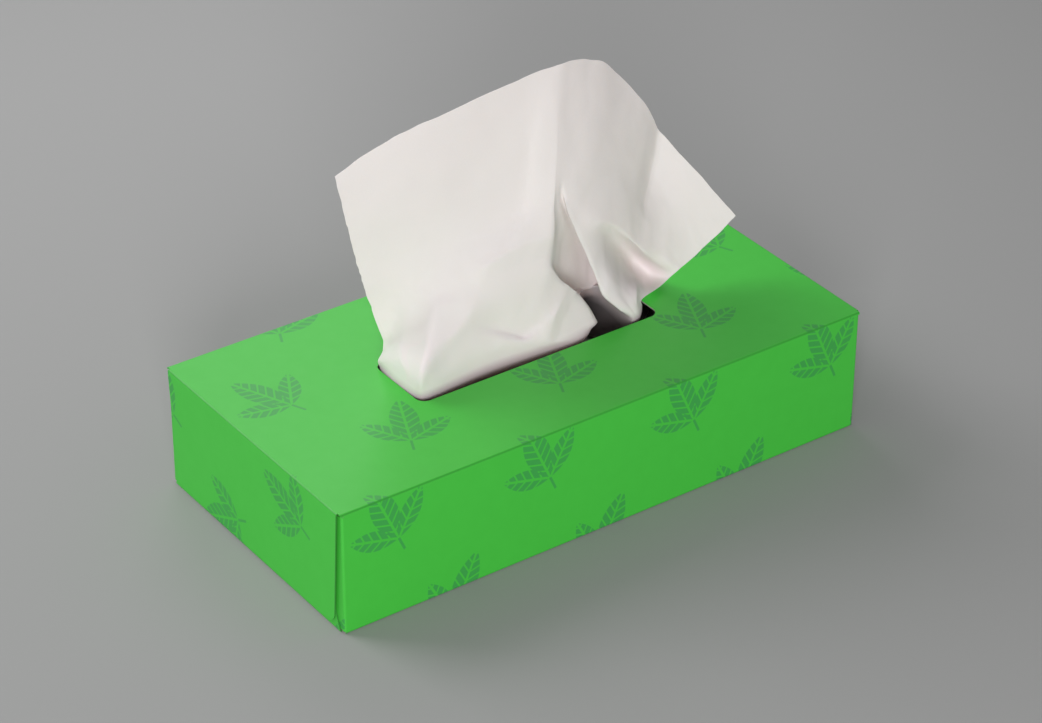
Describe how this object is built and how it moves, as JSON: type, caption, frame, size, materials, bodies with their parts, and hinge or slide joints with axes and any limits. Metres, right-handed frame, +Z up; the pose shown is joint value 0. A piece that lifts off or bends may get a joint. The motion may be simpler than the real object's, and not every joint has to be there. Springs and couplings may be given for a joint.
{
  "type": "tissue box",
  "caption": "Flat folding-carton tissue box with glued ends and a slot in its top, holding a stack of tissues with one pulled half out.",
  "frame": {"origin": "centre of the underside of the carton's bottom panel", "axes": "+X along the carton's length, +Y from the front long side to the back one, +Z up out of the slot"},
  "size_m": [0.23, 0.115, 0.1595],
  "materials": {
    "printed_board": "satin printed",
    "hot_glue": "satin",
    "tissue_paper": "soft matte"
  },
  "bodies": {
    "root": {"carton": "printed_board", "end_flap_glue": "hot_glue", "lap_glue": "hot_glue", "tissue_stack": "tissue_paper", "pulled_tissue": "tissue_paper"}
  },
  "joints": []
}
